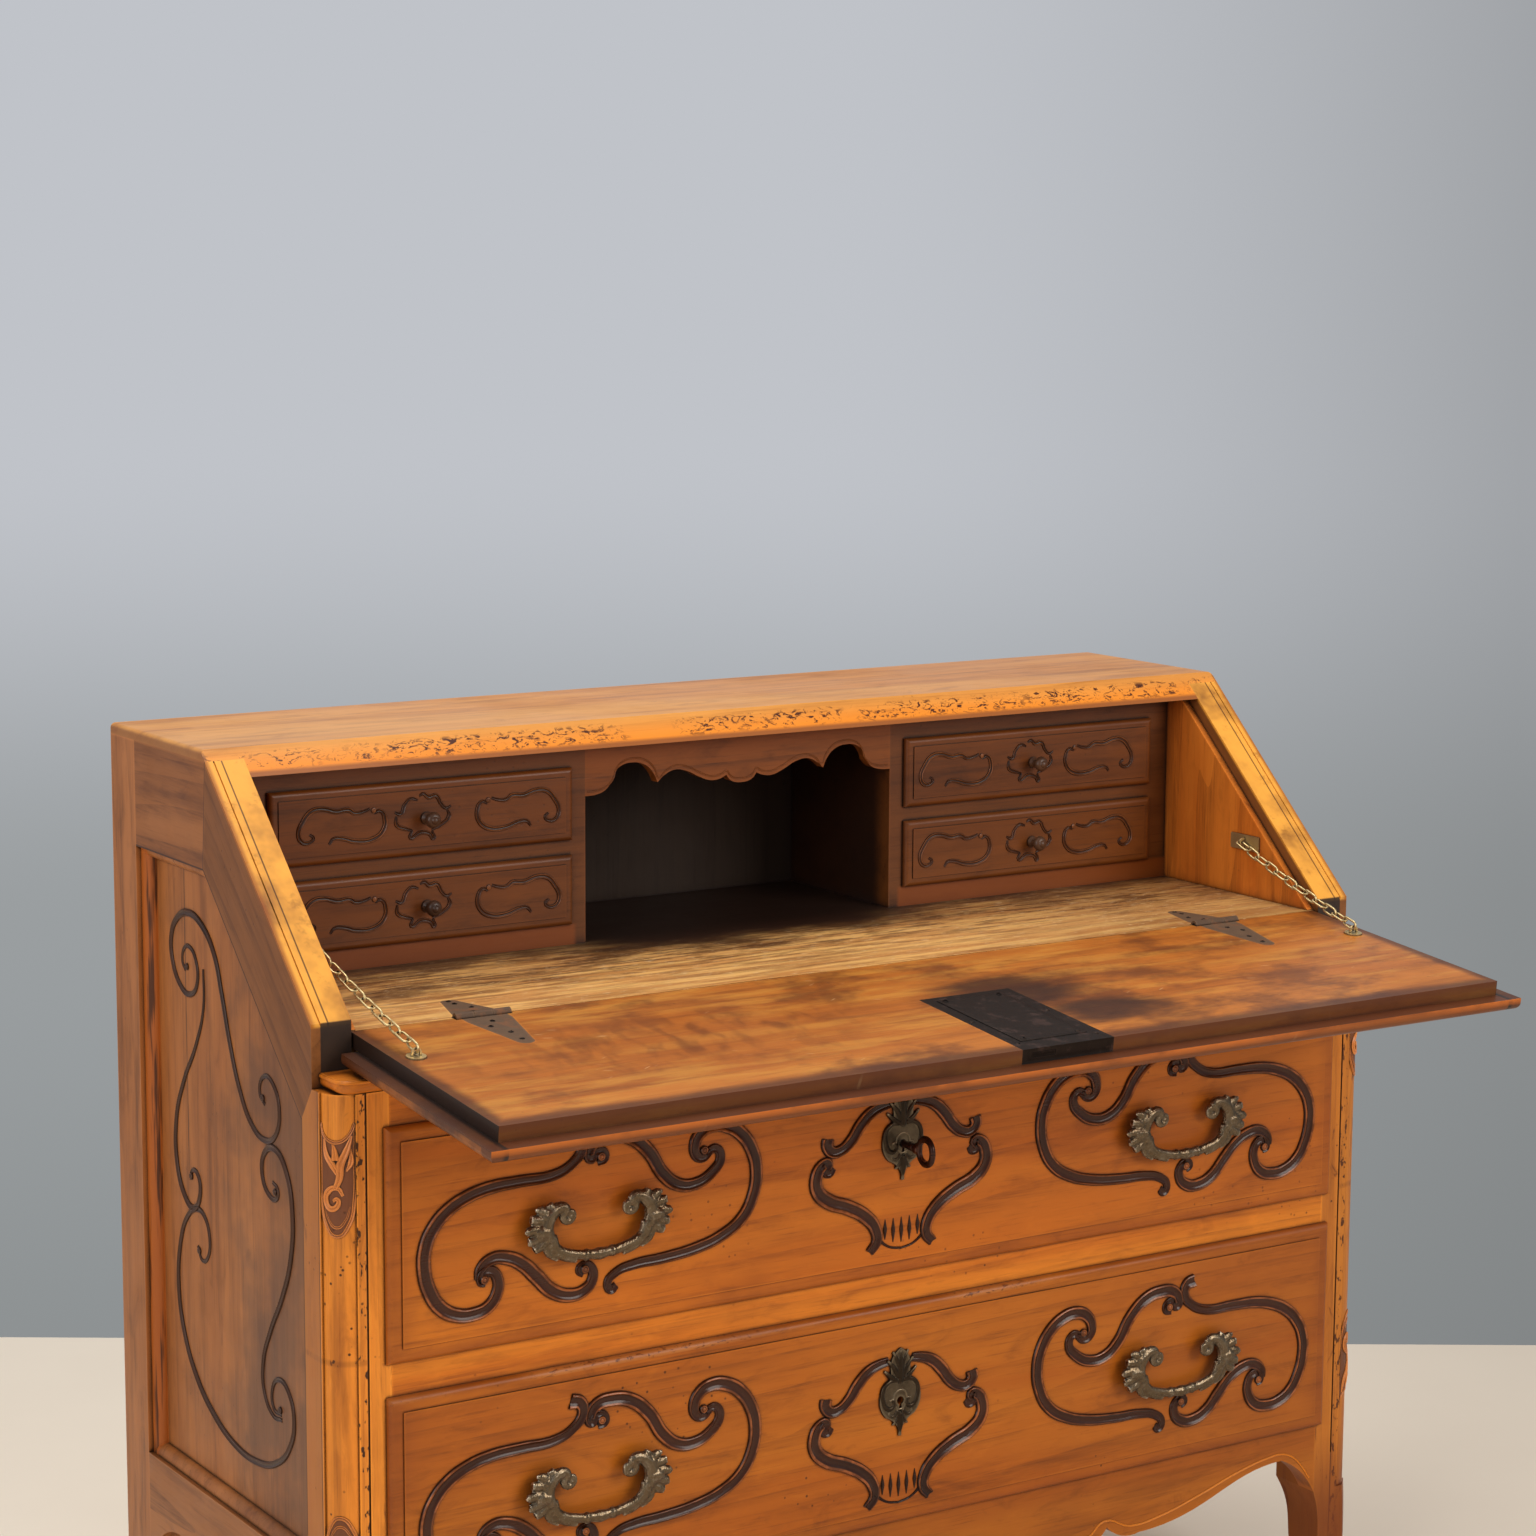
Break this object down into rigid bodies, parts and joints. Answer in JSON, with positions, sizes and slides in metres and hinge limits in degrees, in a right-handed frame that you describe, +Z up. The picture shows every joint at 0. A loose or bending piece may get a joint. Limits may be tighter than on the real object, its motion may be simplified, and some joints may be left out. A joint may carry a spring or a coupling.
{
  "type": "slant-front bureau",
  "caption": "Carved walnut slant-front writing bureau with a chained fall, a nest of small drawers, an open compartment and long drawers on short cabriole legs.",
  "frame": {"origin": "middle of the footprint on the floor, with the fall open", "axes": "+X to the sitter's right across the width, +Y to the back, +Z up"},
  "size_m": [1.2, 0.7353, 0.987],
  "materials": {
    "case_wood": "polished",
    "side_wood": "polished",
    "fall_wood": "worn",
    "desk_wood": "satin",
    "secondary_wood": "matte",
    "dark_wood": "satin",
    "bronze": "aged",
    "brass": "aged",
    "iron": "dark"
  },
  "bodies": {
    "carcase": {"front_post_left": "case_wood", "front_post_right": "case_wood", "rear_post_left": "side_wood", "rear_post_right": "side_wood", "post_caps": "case_wood", "side_top_rails": "side_wood", "slanted_stile_left": "side_wood", "slanted_stile_right": "side_wood", "side_bottom_rail_left": "side_wood", "side_bottom_rail_right": "side_wood", "side_panel_left": "side_wood", "side_panel_right": "side_wood", "inner_cheeks": "desk_wood", "top_board": "case_wood", "back_panel": "secondary_wood", "writing_bed": "desk_wood", "front_top_rail": "case_wood", "middle_rail": "case_wood", "apron": "case_wood", "upper_dust_board": "secondary_wood", "lower_dust_board": "secondary_wood", "drawer_guides": "secondary_wood", "nest_frame_left": "desk_wood", "nest_frame_right": "desk_wood", "nest_valance": "desk_wood", "bed_hinge_leaves": "iron", "hinge_pins": "iron", "stay_chains": "brass", "chain_wall_plates": "brass"},
    "fall": {"fall_board": "fall_wood", "fall_hinge_leaves": "iron", "chain_fall_plates": "brass", "fall_lock_case": "iron", "fall_escutcheon": "brass"},
    "fall_bolt": {"fall_lock_bolt": "iron"},
    "upper_drawer": {"upper_drawer_front": "case_wood", "upper_drawer_box": "secondary_wood", "upper_drawer_lock_case": "iron", "upper_drawer_escutcheon": "bronze", "upper_drawer_handle_posts": "bronze"},
    "upper_bolt": {"upper_drawer_lock_bolt": "iron"},
    "upper_bail_left": {"upper_drawer_bail_left": "bronze"},
    "upper_small_drawer_left": {"upper_small_drawer_left": "desk_wood", "upper_knob_left": "dark_wood"},
    "upper_bail_right": {"upper_drawer_bail_right": "bronze"},
    "upper_small_drawer_right": {"upper_small_drawer_right": "desk_wood", "upper_knob_right": "dark_wood"},
    "lower_drawer": {"lower_drawer_front": "case_wood", "lower_drawer_box": "secondary_wood", "lower_drawer_lock_case": "iron", "lower_drawer_escutcheon": "bronze", "lower_drawer_handle_posts": "bronze"},
    "lower_bolt": {"lower_drawer_lock_bolt": "iron"},
    "lower_bail_left": {"lower_drawer_bail_left": "bronze"},
    "lower_small_drawer_left": {"lower_small_drawer_left": "desk_wood", "lower_knob_left": "dark_wood"},
    "lower_bail_right": {"lower_drawer_bail_right": "bronze"},
    "lower_small_drawer_right": {"lower_small_drawer_right": "desk_wood", "lower_knob_right": "dark_wood"},
    "key": {"key": "bronze"}
  },
  "joints": [
    {"name": "fall_hinge", "type": "hinge", "parent": "carcase", "child": "fall", "pos_m": [0, -0.07263, 0.76], "axis": [1, 0, 0], "range_deg": [-142.5, 0], "deforming": ["stay_chains"]},
    {"name": "fall_bolt_slide", "type": "slide", "parent": "fall", "child": "fall_bolt", "axis": [0, -0.9956, -0.0941], "range_m": [0, 0.008]},
    {"name": "upper_drawer_slide", "type": "slide", "parent": "carcase", "child": "upper_drawer", "axis": [0, -1, 0], "range_m": [0, 0.32]},
    {"name": "lower_drawer_slide", "type": "slide", "parent": "carcase", "child": "lower_drawer", "axis": [0, -1, 0], "range_m": [0, 0.32]},
    {"name": "upper_bail_left_hinge", "type": "hinge", "parent": "upper_drawer", "child": "upper_bail_left", "pos_m": [-0.3425, -0.13769, 0.58415], "axis": [-1, 0, 0], "range_deg": [0, 80]},
    {"name": "upper_bail_right_hinge", "type": "hinge", "parent": "upper_drawer", "child": "upper_bail_right", "pos_m": [0.3425, -0.13769, 0.58415], "axis": [-1, 0, 0], "range_deg": [0, 80]},
    {"name": "lower_bail_left_hinge", "type": "hinge", "parent": "lower_drawer", "child": "lower_bail_left", "pos_m": [-0.3425, -0.13769, 0.3343], "axis": [-1, 0, 0], "range_deg": [0, 80]},
    {"name": "lower_bail_right_hinge", "type": "hinge", "parent": "lower_drawer", "child": "lower_bail_right", "pos_m": [0.3425, -0.13769, 0.3343], "axis": [-1, 0, 0], "range_deg": [0, 80]},
    {"name": "lower_small_drawer_left_slide", "type": "slide", "parent": "carcase", "child": "lower_small_drawer_left", "axis": [0, -1, 0], "range_m": [0, 0.13]},
    {"name": "lower_small_drawer_right_slide", "type": "slide", "parent": "carcase", "child": "lower_small_drawer_right", "axis": [0, -1, 0], "range_m": [0, 0.13]},
    {"name": "upper_small_drawer_left_slide", "type": "slide", "parent": "carcase", "child": "upper_small_drawer_left", "axis": [0, -1, 0], "range_m": [0, 0.13]},
    {"name": "upper_small_drawer_right_slide", "type": "slide", "parent": "carcase", "child": "upper_small_drawer_right", "axis": [0, -1, 0], "range_m": [0, 0.13]},
    {"name": "key_turn", "type": "hinge", "parent": "upper_drawer", "child": "key", "pos_m": [0, -0.11769, 0.595], "axis": [0, -1, 0], "range_deg": [0, 185]},
    {"name": "upper_bolt_slide", "type": "slide", "parent": "upper_drawer", "child": "upper_bolt", "axis": [0, 0, 1], "range_m": [0, 0.008]},
    {"name": "lower_bolt_slide", "type": "slide", "parent": "lower_drawer", "child": "lower_bolt", "axis": [0, 0, 1], "range_m": [0, 0.008]}
  ],
  "couplings": [
    {"joint": "key_turn", "follows": "upper_bolt_slide", "rad_per_m": 392.6}
  ]
}
